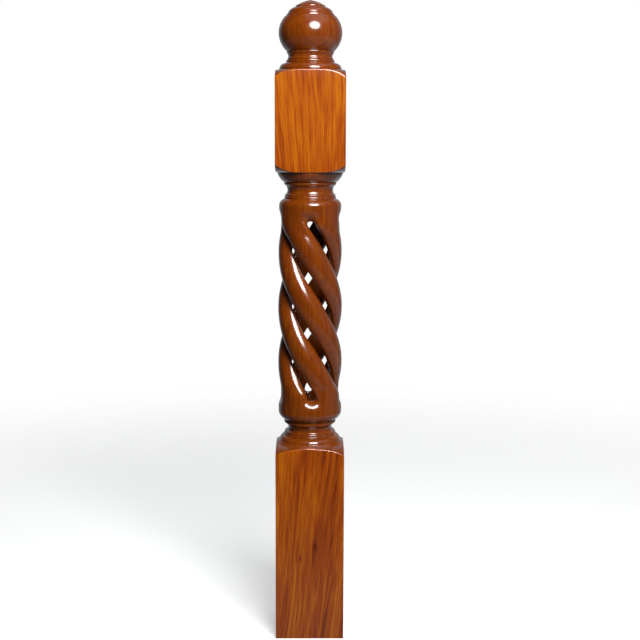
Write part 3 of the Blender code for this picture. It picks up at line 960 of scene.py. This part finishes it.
def wood_figure(tree, planed, finish):
    """The wood's figure, from dark to light. Turned and carved wood shows less of it."""
    grain, knots = grain_place(tree, finish)
    fibre_size = (finish.fibre_width, finish.fibre_width, FIBRE_LENGTH)
    figure = 0.0
    for pattern, strength in (
        (growth_rings(tree, grain, finish), finish.ring_strength),
        (stretched_noise(tree, grain, STREAK_SIZE, FINE_DETAIL, STREAK_SEED), finish.streak_strength),
        (stretched_noise(tree, grain, fibre_size, FINE_DETAIL, FIBRE_SEED), finish.fibre_strength),
        (stretched_noise(tree, grain, CLOUD_SIZE, BROAD_DETAIL, CLOUD_SEED), finish.cloud_strength),
    ):
        centred = add_node(tree, "Math", {0: pattern, 1: NOISE_MIDDLE}, operation="SUBTRACT")
        added = {0: centred, 1: strength, 2: figure}
        figure = add_node(tree, "Math", added, operation="MULTIPLY_ADD")
    shares = {0: planed, 1: 1 - finish.turned_figure, 2: finish.turned_figure}
    clearness = add_node(tree, "Math", shares, operation="MULTIPLY_ADD")
    cleared = {0: figure, 1: clearness, 2: MID_AT}
    figure = add_node(tree, "Math", cleared, operation="MULTIPLY_ADD")
    darkened = {0: knots, 1: -KNOT_SHADE, 2: figure}
    return add_node(tree, "Math", darkened, operation="MULTIPLY_ADD")


def lacquered_hardwood(finish):
    """Red-brown hardwood, planed, turned and carved, stained and polished under clear lacquer.

    The stain gives deep orange-brown wood with darker growth lines and lighter streaks that run
    along the post. The lacquer lies over it as a smooth clear coat, which gives the sharp
    highlights, and the stain's own rougher shine leaves a faint haze round them.
    """
    material = bpy.data.materials.new("lacquered_hardwood_polished")
    material.use_nodes = True
    tree = material.node_tree
    tree.nodes.clear()
    planed = add_node(tree, "Attribute", output="Fac", attribute_name=PLANED)
    ramp = add_node(tree, "ValToRGB", {"Fac": wood_figure(tree, planed, finish)})
    stops = ramp.node.color_ramp.elements
    stops[0].position = DARKEST_AT
    stops[0].color = (*finish.dark, 1.0)
    stops[1].position = LIGHTEST_AT
    stops[1].color = (*finish.light, 1.0)
    stops.new(MID_AT).color = (*finish.mid, 1.0)
    stained = {"Factor": 1.0, "A": ramp, "B": (*finish.turned, 1.0)}
    turned = add_node(tree, "Mix", stained, "Result", data_type="RGBA", blend_type="MULTIPLY")
    both = {"Factor": planed, "A": turned, "B": ramp}
    wood = add_node(tree, "Mix", both, "Result", data_type="RGBA")
    polish = {
        "Base Color": wood,
        "Roughness": STAIN_ROUGHNESS,
        "IOR": STAIN_IOR,
        "Specular IOR Level": STAIN_SPECULAR,
        "Coat Weight": 1.0,
        "Coat Roughness": finish.lacquer_roughness,
        "Coat IOR": LACQUER_IOR,
    }
    shader = add_node(tree, "BsdfPrincipled", polish)
    add_node(tree, "OutputMaterial", {"Surface": shader})
    return material


class NEWEL_OT_post(bpy.types.Operator):
    """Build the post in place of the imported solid"""

    bl_idname = "newel.post"
    bl_label = "Newel post"

    def execute(self, context):
        scene = context.scene
        mesh = build_post_mesh(PostForm(scene.newel_sizes))
        mesh.materials.append(lacquered_hardwood(scene.newel_finish))
        post = bpy.data.objects.new("newel_post_carved", mesh)
        scene.collection.objects.link(post)
        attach(post, BODY)
        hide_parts(CAD_NODE)
        return {"FINISHED"}


def make_camera(scene, studio):
    """The camera at the photograph's viewing angle."""
    data = bpy.data.cameras.new("camera")
    data.sensor_width = SENSOR_WIDTH
    data.lens = studio.focal_pixels * data.sensor_width / FRAME_PIXELS
    data.shift_y = (PRINCIPAL_ROW - FRAME_PIXELS / 2) / FRAME_PIXELS
    camera = bpy.data.objects.new("camera", data)
    camera.location = (0, -studio.camera_distance, studio.camera_height)
    camera.rotation_euler = (math.pi / 2 - studio.camera_pitch, -CAMERA_ROLL, -CAMERA_YAW)
    scene.collection.objects.link(camera)
    scene.camera = camera


def make_key_light(scene, studio):
    """A large round softbox, high in front of the post and to its right."""
    data = bpy.data.lights.new("key_softbox", "AREA")
    data.shape = "DISK"
    data.size = studio.key_size
    data.energy = studio.key_power
    light = bpy.data.objects.new("key_softbox", data)
    light.location = studio.key_place
    towards = Vector(studio.key_target) - Vector(studio.key_place)
    light.rotation_euler = towards.to_track_quat("-Z", "Y").to_euler()
    scene.collection.objects.link(light)


def make_floor(scene, studio):
    """A round of pale floor, lit from below like a light table, that fades out with no edge."""
    bm = bmesh.new()
    bmesh.ops.create_circle(bm, cap_ends=True, segments=FLOOR_SIDES, radius=studio.floor_radius)
    mesh = bpy.data.meshes.new("floor")
    bm.to_mesh(mesh)
    bm.free()
    material = bpy.data.materials.new("matt_light_table")
    material.use_nodes = True
    tree = material.node_tree
    tree.nodes.clear()
    place = add_node(tree, "TexCoord", output="Object")
    away = add_node(tree, "VectorMath", {0: place}, "Value", operation="LENGTH")
    faded = studio.floor_radius * FLOOR_FADE
    limits = {"Value": away, "From Min": studio.floor_radius, "From Max": faded}
    fade = add_node(tree, "MapRange", limits, "Result", interpolation_type="SMOOTHSTEP")
    table = {
        "Base Color": (*studio.floor, 1.0),
        "Roughness": FLOOR_ROUGHNESS,
        "Specular IOR Level": FLOOR_SPECULAR,
        "Emission Color": (*studio.floor, 1.0),
        "Emission Strength": studio.floor_glow,
        "Alpha": fade,
    }
    shader = add_node(tree, "BsdfPrincipled", table)
    add_node(tree, "OutputMaterial", {"Surface": shader})
    mesh.materials.append(material)
    floor = bpy.data.objects.new("floor", mesh)
    floor.visible_diffuse = False
    floor.visible_glossy = False
    scene.collection.objects.link(floor)


def make_backdrop(scene):
    """A plain white surround that only the camera sees, so that it lights nothing."""
    rows = BACKDROP_SIDES // 2
    bm = bmesh.new()
    bmesh.ops.create_uvsphere(bm, u_segments=BACKDROP_SIDES, v_segments=rows, radius=BACKDROP_RADIUS)
    mesh = bpy.data.meshes.new("backdrop")
    bm.to_mesh(mesh)
    bm.free()
    material = bpy.data.materials.new("white_backdrop")
    material.use_nodes = True
    tree = material.node_tree
    tree.nodes.clear()
    glow = add_node(tree, "Emission", {"Color": (1, 1, 1, 1), "Strength": 1.0})
    add_node(tree, "OutputMaterial", {"Surface": glow})
    mesh.materials.append(material)
    backdrop = bpy.data.objects.new("backdrop", mesh)
    backdrop.visible_diffuse = False
    backdrop.visible_glossy = False
    backdrop.visible_transmission = False
    backdrop.visible_shadow = False
    scene.collection.objects.link(backdrop)


def make_surround(scene, studio):
    """Soft light from all round: dark in front, a bright wall behind, a glow above, a pale floor."""
    world = bpy.data.worlds.new("studio_surround")
    world.use_nodes = True
    tree = world.node_tree
    tree.nodes.clear()
    towards = add_node(tree, "TexCoord", output="Generated")
    right, back, up = add_node(tree, "SeparateXYZ", {"Vector": towards}).node.outputs
    overhead = {0: towards, 1: TOP_GLOW_TOWARDS}
    above = add_node(tree, "VectorMath", overhead, "Value", operation="DOT_PRODUCT")
    patches = []
    for share, (start, full), strength in (
        (back, BACK_REACH, studio.back_glow),
        (above, TOP_REACH, studio.top_glow),
        (right, SIDE_REACH, studio.side_glow),
        (right, FLOOR_LIGHT_REACH, studio.floor_light),
        (up, HORIZON_REACH, 1.0),
    ):
        limits = {"Value": share, "From Min": start, "From Max": full, "To Max": strength}
        patch = add_node(tree, "MapRange", limits, "Result", interpolation_type="SMOOTHSTEP")
        patches.append(patch)
    *glows, thrown, low = patches
    glow = studio.front_glow
    for patch in glows:
        glow = add_node(tree, "Math", {0: patch, 1: glow}, operation="ADD")
    least = studio.floor_light * FLOOR_LIGHT_LEAST
    thrown = add_node(tree, "Math", {0: thrown, 1: least}, operation="ADD")
    total = add_node(tree, "Math", {0: low, 1: thrown, 2: glow}, operation="MULTIPLY_ADD")
    light = {"Color": (*studio.surround, 1.0), "Strength": total}
    background = add_node(tree, "Background", light)
    add_node(tree, "OutputWorld", {"Surface": background})
    scene.world = world


class NEWEL_OT_studio(bpy.types.Operator):
    """Build the floor, the lights, the surround and the camera"""

    bl_idname = "newel.studio"
    bl_label = "Studio"

    def execute(self, context):
        scene = context.scene
        studio = scene.newel_studio
        make_camera(scene, studio)
        make_floor(scene, studio)
        make_backdrop(scene)
        make_surround(scene, studio)
        make_key_light(scene, studio)
        scene.view_settings.view_transform = "Standard"
        return {"FINISHED"}


class NEWEL_PT_sidebar(bpy.types.Panel):
    """Sizes, finish and studio of the newel post"""

    bl_idname = "NEWEL_PT_sidebar"
    bl_label = "Newel Post"
    bl_space_type = "VIEW_3D"
    bl_region_type = "UI"
    bl_category = "Newel Post"

    def draw(self, context):
        scene = context.scene
        for group in (scene.newel_sizes, scene.newel_finish, scene.newel_studio):
            box = self.layout.box()
            for name in type(group).__annotations__:
                box.prop(group, name)
        self.layout.operator(NEWEL_OT_post.bl_idname)
        self.layout.operator(NEWEL_OT_studio.bl_idname)


CLASSES = (PostSizes, WoodFinish, StudioSetup, NEWEL_OT_post, NEWEL_OT_studio, NEWEL_PT_sidebar)


def register():
    for entry in CLASSES:
        bpy.utils.register_class(entry)
    bpy.types.Scene.newel_sizes = PointerProperty(type=PostSizes)
    bpy.types.Scene.newel_finish = PointerProperty(type=WoodFinish)
    bpy.types.Scene.newel_studio = PointerProperty(type=StudioSetup)


def unregister():
    del bpy.types.Scene.newel_studio
    del bpy.types.Scene.newel_finish
    del bpy.types.Scene.newel_sizes
    for entry in reversed(CLASSES):
        bpy.utils.unregister_class(entry)


def main():
    register()
    bpy.ops.newel.post()
    bpy.ops.newel.studio()


if __name__ == "__main__":
    main()
